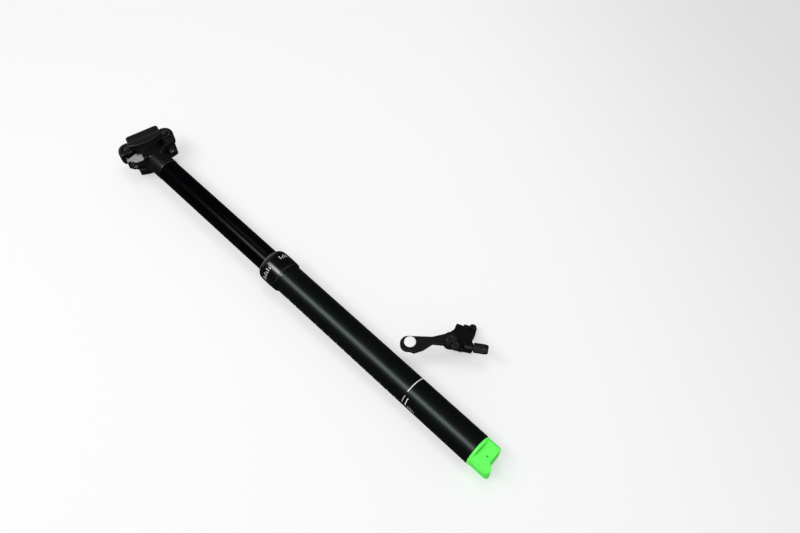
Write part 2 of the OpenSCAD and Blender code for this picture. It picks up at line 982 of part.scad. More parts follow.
module lever_blank() {
    pin_z(lever_hub_r, lever_z, lever_top_z);
    translate([anchor_at[0], anchor_at[1], 0])
        pin_z(anchor_ear_r, lever_z, lever_top_z);
    translate([paddle_at[0], paddle_at[1], 0])
        pin_z(paddle_r, lever_z, lever_top_z);
    lever_slab(lever_ear);
    lever_slab(lever_arm);
}

module thumb_lever() {
    color("#1d1f22")
    in_remote()
        difference() {
            lever_blank();
            pin_z(lever_bush_r + fit, lever_z - 1, lever_top_z + 1);
            translate([anchor_at[0], anchor_at[1], 0])
                pin_z(2 + fit, lever_z - 1, lever_top_z + 1);
            translate([pad_at[0], pad_at[1], 0])
                pin_z(pad_r + fit, lever_top_z - 0.9, lever_top_z + 1);
        }
}

module lever_bushing() {
    color("#c2a25a")
    in_remote()
        difference() {
            pin_z(lever_bush_r, lever_z - 0.35, lever_top_z);
            pin_z(pivot_r + running, lever_z - 1, lever_top_z + 1);
        }
}

module anchor_screw() {
    low = lever_top_z + face_gap;
    color("#2b2e31")
    in_remote()
        translate([anchor_at[0], anchor_at[1], 0])
            difference() {
                union() {
                    pin_z(2, lever_z, low + 0.1);
                    pin_z(3.6, low, low + 2.6);
                }
                translate([0, 0, low + 1])
                    cylinder(r = 1.7, h = 3, $fn = 6);
            }
}

module thumb_pad() {
    color("#f2f2f0")
    in_remote()
        translate([pad_at[0], pad_at[1], 0])
            pin_z(pad_r, lever_top_z - 0.9 + face_gap, lever_top_z + 0.3);
}

module barrel_adjuster() {
    r = barrel_d / 2;
    color("#1a1c1e")
    in_remote()
        in_barrel()
            difference() {
                turned([
                    [0, -8], [stem_r, -8], [stem_r, -0.3], [r - 0.6, -0.3], [r, 0.3], [r, barrel_len - barrel_tip],
                    [r - 0.4, barrel_len - barrel_tip + 0.4], [r - 0.4, barrel_len - barrel_bevel],
                    [r - 0.4 - barrel_bevel, barrel_len], [0, barrel_len]
                ]);
                rod_x(1.1, -9, barrel_len + 1);
                rod_x(2.6, barrel_len - 8, barrel_len + 1);
                for (a = [0 : 30 : 330])
                    rotate([a, 0, 0])
                        translate([1.2, r + 0.35, 0])
                            rod_x(0.9, 0, barrel_len - barrel_tip - 2.4);
            }
}

lower_tube();
seal_collar();
wiper_seal();
upper_bushing();
actuator_base();
base_retaining_ring();
cartridge_rod();
main_piston();
piston_ring();
rod_nut();
bottom_bumper();
rocker_pin();
actuator_rocker();
cable_barrel();
valve_pin();
guard_cap();
stanchion();
lower_bushing();
guide_keys();
cartridge_tube();
rod_gland();
rod_seal();
cartridge_end_plug();
cartridge_bolt();
post_head();
front_bolt();
rear_bolt();
front_washer();
rear_washer();
floating_piston();
floating_ring();
lower_cradle();
upper_clamp();
front_nut();
rear_nut();
remote_body();
bar_clamp();
clamp_hinge_pin();
clamp_bolt();
lever_pivot_bolt();
thumb_lever();
lever_bushing();
anchor_screw();
thumb_pad();
barrel_adjuster();
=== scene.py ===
import json
import math

import bmesh
import bpy
from bpy.props import FloatProperty, FloatVectorProperty, IntProperty, PointerProperty
from mathutils import Matrix, Vector

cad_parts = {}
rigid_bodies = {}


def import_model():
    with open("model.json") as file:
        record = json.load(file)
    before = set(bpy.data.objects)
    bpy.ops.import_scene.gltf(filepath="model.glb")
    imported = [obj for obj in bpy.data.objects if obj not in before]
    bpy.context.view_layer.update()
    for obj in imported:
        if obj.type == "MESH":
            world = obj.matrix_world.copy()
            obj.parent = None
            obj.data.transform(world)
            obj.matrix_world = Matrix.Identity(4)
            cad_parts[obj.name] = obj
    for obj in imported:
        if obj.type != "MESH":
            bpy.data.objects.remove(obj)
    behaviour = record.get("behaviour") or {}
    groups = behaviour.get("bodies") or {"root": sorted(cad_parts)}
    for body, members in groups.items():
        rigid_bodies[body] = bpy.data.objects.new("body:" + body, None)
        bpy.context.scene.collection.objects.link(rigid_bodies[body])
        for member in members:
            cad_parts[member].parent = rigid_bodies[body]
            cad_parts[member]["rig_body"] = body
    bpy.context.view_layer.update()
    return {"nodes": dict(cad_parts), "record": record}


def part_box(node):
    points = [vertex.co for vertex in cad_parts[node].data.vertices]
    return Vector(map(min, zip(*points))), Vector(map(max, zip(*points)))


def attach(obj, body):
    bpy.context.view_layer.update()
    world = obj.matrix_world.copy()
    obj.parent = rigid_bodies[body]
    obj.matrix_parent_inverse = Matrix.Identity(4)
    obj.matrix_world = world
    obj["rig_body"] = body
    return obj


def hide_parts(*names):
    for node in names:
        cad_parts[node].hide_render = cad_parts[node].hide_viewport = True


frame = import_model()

bl_info = {
    "name": "Dropper seatpost",
    "version": (1, 0, 0),
    "blender": (4, 5, 0),
    "location": "View3D > Sidebar > Dropper post",
    "description": "Gives the packed dropper seatpost and its remote their surfaces, print and studio",
    "category": "Object",
}

# X runs up the post from the collar's foot, and profiles are drawn in millimetres
MM = 0.001
FULL_TURN = 2 * math.pi
TUBE_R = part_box("lower_tube")[1].y / MM
COLLAR_LOW, COLLAR_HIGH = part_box("seal_collar")
COLLAR_R = COLLAR_HIGH.y / MM
# The collar's two bores: over the tube's spigot and round the stanchion
SPIGOT_BORE_R = TUBE_R - 0.55
STANCHION_BORE_R = 12.95
# The saddle clamp's own frame: its rails' middle, leaning forward on the post
CLAMP = Matrix.Translation((0.2342, -0.0012, 0)) @ Matrix.Rotation(math.radians(-15.5), 4, "Z")
# Where the two saddle bolts stand across the clamp
SADDLE_BOLTS = {"front": -22.4, "rear": 21.0}
# A saddle bolt's hex socket in the clamp's frame, and how thick the light lining that paints a glint in it
# is on the sides and the floor
SOCKET_MOUTH, SOCKET_FLOOR = -12.0, -9.5
SOCKET_R = 2.27
SIDE_SKIN, FLOOR_SKIN = 0.17, 0.15
# Size of the faint patches that handling leaves on a finish
HANDLING_MM = 45.0
# Loose corners of a CAD mesh that are this close are one corner
CAD_MERGE = 0.002 * MM
# Gap between the print and the metal under it, which keeps the two faces apart
INK_GAP = 0.01

# The camera's place, its heading from the post's axis and its tilt below level, in degrees
CAMERA_PLACE = (-0.35521, 0.20037, 0.69994)
CAMERA_HEADING = -46.0334
CAMERA_TILT = 60.0151
# The floor's depth below the collar's foot, its fall towards the head and its size
FLOOR_DEPTH = 0.0214
FLOOR_SLOPE = 0.0216
FLOOR_RADIUS = 14.0
# The lamps face this point of the post
LAMP_AIM = (-0.02, 0.0, 0.0)
SOFTBOX = {"place": (0.3, 0.72, 1.4), "length": 1.3, "width": 0.5}
CEILING = {"place": (0.05, -0.32, 1.6), "length": 0.9, "width": 0.5}
# Brightness that the camera sees: paper and backdrop, and the paper's dim side, a painted fall of light
# across the table
PAPER_LEVEL = 0.955
PAINTED_DIM_LEVEL = 0.7
# The direction across the table in which the painted fall of light makes the paper brighter, and between
# which places, in metres
ACROSS = (0.5, 0.87, 0.0)
PAINTED_DIM_FROM, PAINTED_DIM_TO = -0.72, -0.22
# Distances over which the paper pales to the backdrop and the shadow fades, in metres
PALE_FROM, PALE_TO = 0.8, 1.8
FADE_FROM, FADE_TO = 0.5, 2.2
# Brightness of what the polish mirrors: the paper and dark room, and the walls at the post's ends
DARK_LEVEL = 0.02
WALL_LEVEL = 0.5


def linear(code):
    """Turns an sRGB hex value into linear red, green and blue."""
    parts = [int(code[i:i + 2], 16) / 255 for i in (0, 2, 4)]
    return tuple(c / 12.92 if c <= 0.04045 else ((c + 0.055) / 1.055) ** 2.4 for c in parts)


WHITE = linear("FFFFFF")


def put(tree, kind, inputs=None, **settings):
    """Adds one node with its settings, and fills or links its inputs by name or number."""
    node = tree.nodes.new(kind)
    for name, value in settings.items():
        setattr(node, name, value)
    for name, value in (inputs or {}).items():
        if isinstance(value, bpy.types.NodeSocket):
            tree.links.new(value, node.inputs[name])
        else:
            node.inputs[name].default_value = value
    return node


class PostSizes(bpy.types.PropertyGroup):
    """Sizes of what is added to the solids."""

    line_at: FloatProperty(
        name="Insertion line", description="Distance of the printed line below the collar",
        default=0.179, unit="LENGTH")
    line_width: FloatProperty(
        name="Line width", description="Width of the printed insertion line",
        default=0.0009, unit="LENGTH")
    tick_pitch: FloatProperty(
        name="Tick pitch", description="Distance between the printed height ticks",
        default=0.010, unit="LENGTH")
    ink_height: FloatProperty(
        name="Ink height", description="How far the print stands off the metal",
        default=0.00003, unit="LENGTH")
    steps: IntProperty(
        name="Turning steps", description="Faces round a turned piece",
        default=128, min=24)
    head_voxel: FloatProperty(
        name="Head grid", description="Grid that rounds the forged head",
        default=0.00034, unit="LENGTH")
    clamp_voxel: FloatProperty(
        name="Clamp grid", description="Grid that rounds the rail clamp",
        default=0.00045, unit="LENGTH")
    remote_voxel: FloatProperty(
        name="Remote grid", description="Grid that rounds the remote and the guard",
        default=0.00032, unit="LENGTH")


class PostColours(bpy.types.PropertyGroup):
    """Colours of the finishes."""

    tube: FloatVectorProperty(
        name="Lower tube", description="Hard-anodised black",
        subtype="COLOR", default=linear("050706"))
    collar: FloatVectorProperty(
        name="Collar", description="Smooth anodised black",
        subtype="COLOR", default=linear("030404"))
    stanchion: FloatVectorProperty(
        name="Stanchion", description="Polished anodised black",
        subtype="COLOR", default=linear("030305"))
    head: FloatVectorProperty(
        name="Head", description="Blasted anodised black",
        subtype="COLOR", default=linear("050606"))
    guard: FloatVectorProperty(
        name="Guard cap", description="Fluorescent green nylon",
        subtype="COLOR", default=linear("5FEC58"))
    ink: FloatVectorProperty(
        name="Print", description="White print and the white disc",
        subtype="COLOR", default=linear("F1F2EF"))
    floor: FloatVectorProperty(
        name="Floor", description="White paper the post lies on",
        subtype="COLOR", default=linear("F7F7F8"))


class StudioSettings(bpy.types.PropertyGroup):
    """Camera and light."""

    lens: FloatProperty(
        name="Lens", description="Focal length",
        default=35.0, unit="CAMERA")
    key_power: FloatProperty(
        name="Key light", description="Power of the softbox above the post",
        default=12.5, unit="POWER")
    fill_power: FloatProperty(
        name="Fill light", description="Power of the light off the white ceiling",
        default=6.5, unit="POWER")
    sky: FloatProperty(
        name="Room light", description="Strength of the light from the room",
        default=0.45, min=0)


# Finishes. Each starts from the real metal, rubber or plastic and how its surface was made.

# Sockets of the Mix node when it mixes colours
MIX_FACTOR, MIX_A, MIX_B, MIX_RESULT = 0, 6, 7, 2


def new_material(name):
    """Starts a material with an empty node tree."""
    material = bpy.data.materials.new(name)
    material.use_nodes = True
    material.node_tree.nodes.clear()
    return material


def finish(name, colour, roughness, grain_mm, depth_mm, metallic=0.0, spread=0.05, tone=0.12, gloss=0.5,
           cast=WHITE, glow=0.0):
    """Makes a finish whose tone, roughness and height follow a grain of a real size.

    Faint handling marks vary the roughness too. spread and tone are how far roughness and colour vary,
    gloss is the level of the surface's reflection, cast is its tint, and glow is a painted glow: an emission
    that stands for a fluorescent dye and lifts the shaded faces.
    """
    material = new_material(name)
    tree = material.node_tree
    place = put(tree, "ShaderNodeTexCoord")
    grain = put(tree, "ShaderNodeTexNoise", {
        "Vector": place.outputs["Object"], "Scale": 1 / (grain_mm * MM), "Detail": 3.0, "Roughness": 0.55})
    smudge = put(tree, "ShaderNodeTexNoise", {
        "Vector": place.outputs["Object"], "Scale": 1 / (HANDLING_MM * MM), "Detail": 4.0,
        "Roughness": 0.6})
    both = put(tree, "ShaderNodeMath", {
        0: grain.outputs["Fac"], 1: smudge.outputs["Fac"]}, operation="ADD")
    # The two noises add up to between about 0.6 and 1.4
    rough = put(tree, "ShaderNodeMapRange", {
        "Value": both.outputs["Value"], "From Min": 0.6, "From Max": 1.4,
        "To Min": roughness - spread, "To Max": roughness + spread})
    dark = [c * (1 - tone) for c in colour]
    pale = [c * (1 + tone) for c in colour]
    shade = put(tree, "ShaderNodeMix", {
        MIX_FACTOR: grain.outputs["Fac"], MIX_A: (*dark, 1), MIX_B: (*pale, 1)}, data_type="RGBA")
    bump = put(tree, "ShaderNodeBump", {
        "Height": grain.outputs["Fac"], "Distance": depth_mm * MM, "Strength": 1.0})
    shader = put(tree, "ShaderNodeBsdfPrincipled", {
        "Base Color": shade.outputs[MIX_RESULT], "Metallic": metallic, "Roughness": rough.outputs["Result"],
        "Specular IOR Level": gloss, "Specular Tint": (*cast, 1), "Normal": bump.outputs["Normal"],
        "Emission Color": (*colour, 1), "Emission Strength": glow})
    put(tree, "ShaderNodeOutputMaterial", {"Surface": shader.outputs["BSDF"]})
    return material


def turned_metal(name, colour, roughness, ring_mm, depth_mm):
    """Bare metal from a lathe: rings round the post's axis, coarser than the tool's so that they show."""
    material = new_material(name)
    tree = material.node_tree
    place = put(tree, "ShaderNodeTexCoord")
    # At a scale of 1 a band of the Wave texture is 2 pi / 20 wide
    rings = put(tree, "ShaderNodeTexWave", {
        "Vector": place.outputs["Object"], "Scale": FULL_TURN / (20 * ring_mm * MM), "Distortion": 0.6,
        "Detail": 2.0}, bands_direction="X")
    rough = put(tree, "ShaderNodeMapRange", {
        "Value": rings.outputs["Fac"], "To Min": roughness - 0.05, "To Max": roughness + 0.07})
    dark = [c * 0.9 for c in colour]
    shade = put(tree, "ShaderNodeMix", {
        MIX_FACTOR: rings.outputs["Fac"], MIX_A: (*dark, 1), MIX_B: (*colour, 1)}, data_type="RGBA")
    bump = put(tree, "ShaderNodeBump", {
        "Height": rings.outputs["Fac"], "Distance": depth_mm * MM, "Strength": 1.0})
    shader = put(tree, "ShaderNodeBsdfPrincipled", {
        "Base Color": shade.outputs[MIX_RESULT], "Metallic": 1.0, "Roughness": rough.outputs["Result"],
        "Normal": bump.outputs["Normal"]})
    put(tree, "ShaderNodeOutputMaterial", {"Surface": shader.outputs["BSDF"]})
    return material


def finishes(colours):
    """All finishes, by the record's material slot."""
    found = {}
    # Hard-anodised aluminium tube: a matt dyed oxide, so a broad soft highlight with a green-grey cast
    found["tube_black"] = finish(
        "hard_anodised_aluminium", colours.tube, 0.33, grain_mm=0.9, depth_mm=0.003, gloss=0.46,
        cast=linear("E7FFF3"))
    # Smooth anodised aluminium: the same dye on a turned face, so a tight bright highlight
    found["collar_black"] = finish(
        "smooth_anodised_aluminium", colours.collar, 0.2, grain_mm=1.2, depth_mm=0.001, spread=0.03,
        gloss=1.0)
    # Polished anodised aluminium: ground before it was dyed, so a narrow clear highlight
    found["stanchion_black"] = finish(
        "polished_anodised_aluminium", colours.stanchion, 0.18, grain_mm=1.5, depth_mm=0.0005, spread=0.02,
        gloss=0.13)
    # Shot-blasted anodised aluminium: pits of about 0.1 mm, drawn at 0.8 mm so that they show
    found["head_black"] = finish(
        "blasted_anodised_aluminium", colours.head, 0.27, grain_mm=0.8, depth_mm=0.006, gloss=1.0)
    # The remote is blasted more deeply, so it is duller than the head
    found["remote_black"] = finish(
        "blasted_anodised_remote", colours.head, 0.34, grain_mm=0.7, depth_mm=0.008, gloss=0.5)
    # Satin lever: the same black made a little greyer, which paints in the light that its raised arm catches
    found["lever_black"] = finish(
        "satin_anodised_lever", linear("0E0F0F"), 0.36, grain_mm=0.7, depth_mm=0.006, gloss=0.5)
    # Anodised cable barrel: small ribs with a half-gloss that picks out their crests
    found["barrel_black"] = finish(
        "anodised_barrel", linear("090A0A"), 0.3, grain_mm=0.7, depth_mm=0.005, gloss=0.6)
    # Black-oxide steel: a thin dark oxide on bare steel, with an oily half-gloss
    found["bolt_black"] = finish(
        "black_oxide_steel", linear("4A4C4E"), 0.26, grain_mm=0.6, depth_mm=0.003, metallic=0.9)
    # Dark anodised aluminium of the actuator: machined and dyed grey
    found["actuator_grey"] = finish(
        "grey_anodised_aluminium", linear("5A5D61"), 0.38, grain_mm=0.7, depth_mm=0.005, metallic=0.8,
        spread=0.06)
    # Nitrile rubber: matt moulded skin with a fine tooth
    found["rubber_black"] = finish(
        "nitrile_rubber", linear("101011"), 0.7, grain_mm=0.6, depth_mm=0.015, spread=0.08, gloss=0.3)
    # Bronze-filled bearing polymer: dull tan with darker specks
    found["bushing_polymer"] = finish(
        "bronze_filled_polymer", linear("9A8450"), 0.55, grain_mm=0.5, depth_mm=0.006, metallic=0.1,
        spread=0.08, tone=0.3)
    # Turned steel, aluminium and brass, and hard chrome that was ground: rings that streak the highlight
    found["steel_bright"] = turned_metal("turned_steel", linear("BFC2C5"), 0.28, ring_mm=0.5, depth_mm=0.003)
    found["alloy_raw"] = turned_metal("turned_aluminium", linear("C9CCCF"), 0.3, ring_mm=0.5, depth_mm=0.003)
    found["brass_plain"] = turned_metal("turned_brass", linear("C9A65A"), 0.28, ring_mm=0.5, depth_mm=0.003)
    found["rod_chrome"] = turned_metal(
        "ground_hard_chrome", linear("D5D7DA"), 0.12, ring_mm=0.4, depth_mm=0.001)
    # Fluorescent green nylon: moulded and half-gloss, with a painted glow, an emission that stands for the
    # dye's fluorescence and lifts its shaded faces
    found["guard_green"] = finish(
        "moulded_green_nylon", colours.guard, 0.38, grain_mm=0.8, depth_mm=0.006, spread=0.07, tone=0.04,
        gloss=0.4, glow=0.22)
    # Bare metal of the collar's cut edge, which also paints in that edge's highlight, and the painted glint
    # that lines the bolts' sockets: a light satin face that shows bright from any side
    found["bare_edge_and_glint"] = finish(
        "satin_cut_aluminium", linear("A8ABAD"), 0.5, grain_mm=0.6, depth_mm=0.002, metallic=0.3,
        spread=0.06, tone=0.06)
    # White print and inlay: a flat dried ink, a little uneven in gloss
    found["pad_white"] = finish(
        "white_print", colours.ink, 0.45, grain_mm=0.8, depth_mm=0.002, spread=0.08, tone=0.03)
    return found


# Filled by the operator for finishes, before any piece is made
FINISHES = {}


# Shaping helpers

def turned(profile, steps, angle=FULL_TURN, start=0.0):
    """Spins a closed profile of (x, radius) points, in millimetres, about the post's axis."""
    bm = bmesh.new()
    turn = Matrix.Rotation(start, 4, "X")
    ring = [bm.verts.new(turn @ Vector((x * MM, 0, r * MM))) for x, r in profile]
    sides = [bm.edges.new((a, b)) for a, b in zip(ring, ring[1:] + ring[:1])]
    full = angle == FULL_TURN
    geom = ring + sides
    if not full:
        geom = geom + [bm.faces.new(ring)]
    bmesh.ops.spin(
        bm, geom=geom, cent=(0, 0, 0), axis=(1, 0, 0), dvec=(0, 0, 0), angle=angle, steps=steps,
        use_merge=full, use_duplicate=False)
    bmesh.ops.remove_doubles(bm, verts=bm.verts, dist=1e-7)
    bmesh.ops.recalc_face_normals(bm, faces=bm.faces)
    return bm


def patch(near, far, thick, first, reach, steps):
    """A thin mark on a round face, between two (x, radius) points along the post.

    It starts at the angle first, in degrees from straight up towards the rear, and reaches on from there.
    """
    outer = [(x, r + thick) for x, r in (far, near)]
    return turned([near, far, *outer], steps, math.radians(reach), math.radians(-first - reach))


def join(bm, other):
    """Adds another mesh to this one."""
    mesh = bpy.data.meshes.new("joined")
    other.to_mesh(mesh)
    other.free()
    bm.from_mesh(mesh)
    bpy.data.meshes.remove(mesh)


def rounded(bm, width, angle):
    """Bevels the edges that turn by more than an angle, by a width in millimetres."""
    sharp = [e for e in bm.edges if len(e.link_faces) == 2 and e.calc_face_angle() > math.radians(angle)]
    bmesh.ops.bevel(
        bm, geom=sharp, offset=width * MM, offset_type="OFFSET", affect="EDGES", segments=2,
        profile=0.5, material=-1, clamp_overlap=True)


def add_piece(name, bm, body, slot, replaces=(), sharp=40.0, finish_of=None):
    """Makes an object from a mesh, gives it its finish, and lets it ride on a body of the frame."""
    mesh = bpy.data.meshes.new(name)
    bm.to_mesh(mesh)
    bm.free()
    mesh.shade_smooth()
    mesh.set_sharp_from_angle(angle=math.radians(sharp))
    mesh.materials.append(FINISHES[finish_of or slot])
    piece = bpy.data.objects.new(name, mesh)
    bpy.context.scene.collection.objects.link(piece)
    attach(piece, body)
    if replaces:
        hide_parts(*replaces)
    return piece


def joined_copy(node):
    """Copies a CAD node's mesh with its loose triangles joined."""
    bm = bmesh.new()
    bm.from_mesh(frame["nodes"][node].data)
    bmesh.ops.remove_doubles(bm, verts=bm.verts, dist=CAD_MERGE)
    return bm


def smooth_copy(name, node, slot, edge=0.0):
    """Copies a CAD node's solid with its flats whole and its edges broken by some millimetres."""
    bm = joined_copy(node)
    bmesh.ops.dissolve_limit(
        bm, angle_limit=math.radians(0.3), use_dissolve_boundaries=False, verts=bm.verts, edges=bm.edges)
    if edge:
        rounded(bm, edge, 40.0)
    add_piece(name, bm, frame["nodes"][node]["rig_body"], slot, (node,), 30.0)


def cast_copy(name, node, slot, voxel, passes):
    """Copies a CAD node's solid as a forging or moulding, regridded and eased to round its edges."""
    bm = joined_copy(node)
    piece = add_piece(name, bm, frame["nodes"][node]["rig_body"], slot, (node,), 180.0)
    grid = piece.modifiers.new("grid", "REMESH")
    grid.mode = "VOXEL"
    grid.voxel_size = voxel
    grid.use_smooth_shade = True
    ease = piece.modifiers.new("ease", "SMOOTH")
    ease.factor = 0.5
    ease.iterations = passes


# Operators

class DROPPER_OT_stage(bpy.types.Operator):
    """Sets the camera, the paper floor, the softbox and the room light"""

    bl_idname = "dropper_post.stage"
    bl_label = "Studio"

    def execute(self, context):
        scene = context.scene
        studio = scene.dropper_studio
        self.camera(scene, studio.lens)
        self.floor(scene)
        self.lamp(scene, "softbox", studio.key_power, **SOFTBOX)
        # The fill is a bounce off a white ceiling: it lights the paper but has no mirror image on the post
        fill = self.lamp(scene, "fill", studio.fill_power, **CEILING)
        fill.visible_glossy = False
        self.room(scene, studio.sky)
        scene.view_settings.view_transform = "Standard"
        return {"FINISHED"}

    def camera(self, scene, focal_length):
        """The photograph's camera, level from left to right."""
        lens = bpy.data.cameras.new("photo_camera")
        lens.lens = focal_length
        lens.sensor_fit = "HORIZONTAL"
        lens.sensor_width = 36.0
        lens.clip_start = 0.01
        camera = bpy.data.objects.new("photo_camera", lens)
        # An unturned camera looks straight down with its top towards Y
        heading = Matrix.Rotation(math.radians(CAMERA_HEADING - 90), 4, "Z")
        tilt = Matrix.Rotation(math.radians(90 - CAMERA_TILT), 4, "X")
        camera.matrix_world = Matrix.Translation(CAMERA_PLACE) @ heading @ tilt
        scene.collection.objects.link(camera)
        scene.camera = camera

    def floor(self, scene):
        """White paper. The post rests on its lower end and the clamp's side, so the paper leans."""
        bm = bmesh.new()
        bmesh.ops.create_circle(bm, cap_ends=True, segments=96, radius=FLOOR_RADIUS)
        lean = Matrix.Rotation(math.atan(FLOOR_SLOPE), 4, "Y")
        bmesh.ops.transform(bm, matrix=Matrix.Translation((0, 0, -FLOOR_DEPTH)) @ lean, verts=bm.verts)
        mesh = bpy.data.meshes.new("paper_floor")
        bm.to_mesh(mesh)
        bm.free()
        floor = bpy.data.objects.new("paper_floor", mesh)
        scene.collection.objects.link(floor)
        mesh.materials.append(self.paper(scene.dropper_colours.floor))

    def lamp(self, scene, name, power, place, length, width):
        """A flat lamp whose long side runs along the post."""
        light = bpy.data.lights.new(name, "AREA")
        light.shape = "RECTANGLE"
        light.size = length
        light.size_y = width
        light.energy = power
        lamp = bpy.data.objects.new(name, light)
        away = (Vector(place) - Vector(LAMP_AIM)).normalized()
        side = away.cross(Vector((1, 0, 0))).normalized()
        along = side.cross(away).normalized()
        lamp.matrix_world = Matrix.Translation(place) @ Matrix((along, side, away)).transposed().to_4x4()
        scene.collection.objects.link(lamp)
        return lamp

    def paper(self, colour):
        """Matt white paper that keeps the shadow, dims to one side with a painted fall of light, pales far
        off and is dark in polish.
        """
        material = new_material("white_paper")
        tree = material.node_tree
        place = put(tree, "ShaderNodeTexCoord")
        tooth = put(tree, "ShaderNodeTexNoise", {
            "Vector": place.outputs["Object"], "Scale": 1 / (1.5 * MM), "Detail": 2.0})
        bump = put(tree, "ShaderNodeBump", {
            "Height": tooth.outputs["Fac"], "Distance": 0.01 * MM, "Strength": 0.5})
        lit = put(tree, "ShaderNodeBsdfPrincipled", {
            "Base Color": (*colour, 1), "Roughness": 0.9, "Specular IOR Level": 0.2,
            "Normal": bump.outputs["Normal"]})
        path = put(tree, "ShaderNodeLightPath")
        across = put(tree, "ShaderNodeVectorMath", {
            0: place.outputs["Object"], 1: ACROSS}, operation="DOT_PRODUCT")
        # Painted fall of light: the paper darkens towards one side, as if less light reached it there
        painted_falloff = put(tree, "ShaderNodeMapRange", {
            "Value": across.outputs["Value"], "From Min": PAINTED_DIM_FROM, "From Max": PAINTED_DIM_TO,
            "To Min": PAINTED_DIM_LEVEL, "To Max": PAPER_LEVEL}, interpolation_type="SMOOTHSTEP")
        reach = put(tree, "ShaderNodeVectorMath", {0: place.outputs["Object"]}, operation="LENGTH")
        pale = put(tree, "ShaderNodeMapRange", {
            "Value": reach.outputs["Value"], "From Min": PALE_FROM, "From Max": PALE_TO,
            "To Min": painted_falloff.outputs["Result"], "To Max": PAPER_LEVEL}, interpolation_type="SMOOTHSTEP")
        level = put(tree, "ShaderNodeMapRange", {
            "Value": path.outputs["Is Camera Ray"], "To Min": DARK_LEVEL, "To Max": pale.outputs["Result"]})
        glow = put(tree, "ShaderNodeEmission", {"Color": (*WHITE, 1), "Strength": level.outputs["Result"]})
        # Half of what the camera sees near the post is lit paper, which holds the shadow
        far = put(tree, "ShaderNodeMapRange", {
            "Value": reach.outputs["Value"], "From Min": FADE_FROM, "From Max": FADE_TO,
            "To Min": 0.5, "To Max": 1.0}, interpolation_type="SMOOTHSTEP")
        seen = put(tree, "ShaderNodeMath", {
            0: far.outputs["Result"], 1: path.outputs["Is Camera Ray"]}, operation="MULTIPLY")
        mirrored = put(tree, "ShaderNodeMath", {
            0: path.outputs["Is Glossy Ray"], 1: 0.98}, operation="MULTIPLY")
        share = put(tree, "ShaderNodeMath", {
            0: seen.outputs["Value"], 1: mirrored.outputs["Value"]}, operation="MAXIMUM")
        mixed = put(tree, "ShaderNodeMixShader", {
            0: share.outputs["Value"], 1: lit.outputs["BSDF"], 2: glow.outputs["Emission"]})
        put(tree, "ShaderNodeOutputMaterial", {"Surface": mixed.outputs["Shader"]})
        return material

    def room(self, scene, strength):
        """A room that is dim in the polish and whose backdrop is white to the camera."""
        world = bpy.data.worlds.new("room")
        scene.world = world
        world.use_nodes = True
        tree = world.node_tree
        tree.nodes.clear()
        place = put(tree, "ShaderNodeTexCoord")
        split = put(tree, "ShaderNodeSeparateXYZ", {"Vector": place.outputs["Generated"]})
        # The polish finds the room dark over the post's own length, with a bright wall at either end
        foot = put(tree, "ShaderNodeMapRange", {
            "Value": split.outputs["X"], "From Min": 0.04, "From Max": -0.3,
            "To Min": DARK_LEVEL, "To Max": WALL_LEVEL}, interpolation_type="SMOOTHSTEP")
        top = put(tree, "ShaderNodeMapRange", {
            "Value": split.outputs["X"], "From Min": 0.66, "From Max": 0.8,
            "To Min": 0.0, "To Max": WALL_LEVEL}, interpolation_type="SMOOTHSTEP")
        ends = put(tree, "ShaderNodeMath", {
            0: foot.outputs["Result"], 1: top.outputs["Result"]}, operation="ADD")
        white = (*WHITE, 1)
        walls = put(tree, "ShaderNodeBackground", {"Color": white, "Strength": ends.outputs["Value"]})
        light = put(tree, "ShaderNodeBackground", {"Color": white, "Strength": strength})
        backdrop = put(tree, "ShaderNodeBackground", {"Color": white, "Strength": PAPER_LEVEL})
        path = put(tree, "ShaderNodeLightPath")
        lit = put(tree, "ShaderNodeMixShader", {
            0: path.outputs["Is Glossy Ray"], 1: light.outputs["Background"],
            2: walls.outputs["Background"]})
        mixed = put(tree, "ShaderNodeMixShader", {
            0: path.outputs["Is Camera Ray"], 1: lit.outputs["Shader"], 2: backdrop.outputs["Background"]})
        put(tree, "ShaderNodeOutputWorld", {"Surface": mixed.outputs["Shader"]})


class DROPPER_OT_finishes(bpy.types.Operator):
    """Gives every solid of the frame the finish of its material slot"""

    bl_idname = "dropper_post.finishes"
    bl_label = "Finishes"

    def execute(self, context):
        FINISHES.clear()
        FINISHES.update(finishes(context.scene.dropper_colours))
        for part in frame["record"]["subparts"]:
            node = frame["nodes"][part["node"]]
            if not node.material_slots:
                node.data.materials.append(None)
            for slot in node.material_slots:
                slot.material = FINISHES[part["material_slot"]]
        return {"FINISHED"}


class DROPPER_OT_tube_print(bpy.types.Operator):
    """Prints the insertion line, the height ticks and the stop marks on the lower tube"""

    bl_idname = "dropper_post.tube_print"
    bl_label = "Tube print"

    def execute(self, context):
        sizes = context.scene.dropper_sizes
        line = -sizes.line_at / MM
        ink = sizes.ink_height / MM

        def mark(at, half, first, reach, steps):
            """A printed dash on the tube, some millimetres along it and some degrees round it."""
            face = TUBE_R + INK_GAP
            return patch((at - half, face), (at + half, face), ink, first, reach, steps)

        bm = mark(line, sizes.line_width / MM / 2, -72, 100, 60)
        add_piece("insertion_line", bm, "lower", "pad_white")
        bm = bmesh.new()
        first_tick, pitch, margin = -20.0, sizes.tick_pitch / MM, 2.0
        for count in range(math.ceil((first_tick - line - margin) / pitch)):
            # Every fifth tick is a long one
            reach = 9 if count % 5 else 16
            join(bm, mark(first_tick - count * pitch, 0.3, 88, reach, 10))
        add_piece("height_ticks", bm, "lower", "pad_white")
        # Beside the line: a row of dashes round the tube, one long dash and a slanting column of dashes
        bm = bmesh.new()
        for count in range(7):
            join(bm, mark(-179.2, 0.45, 45 + 5 * count, 2.6, 16))
        join(bm, mark(-183.3, 0.4, 45, 36, 16))
        for count in range(5):
            join(bm, mark(-186.8 - 1.9 * count, 0.35, 74 + count, 5, 16))
        add_piece("stop_marks", bm, "lower", "pad_white")
        return {"FINISHED"}


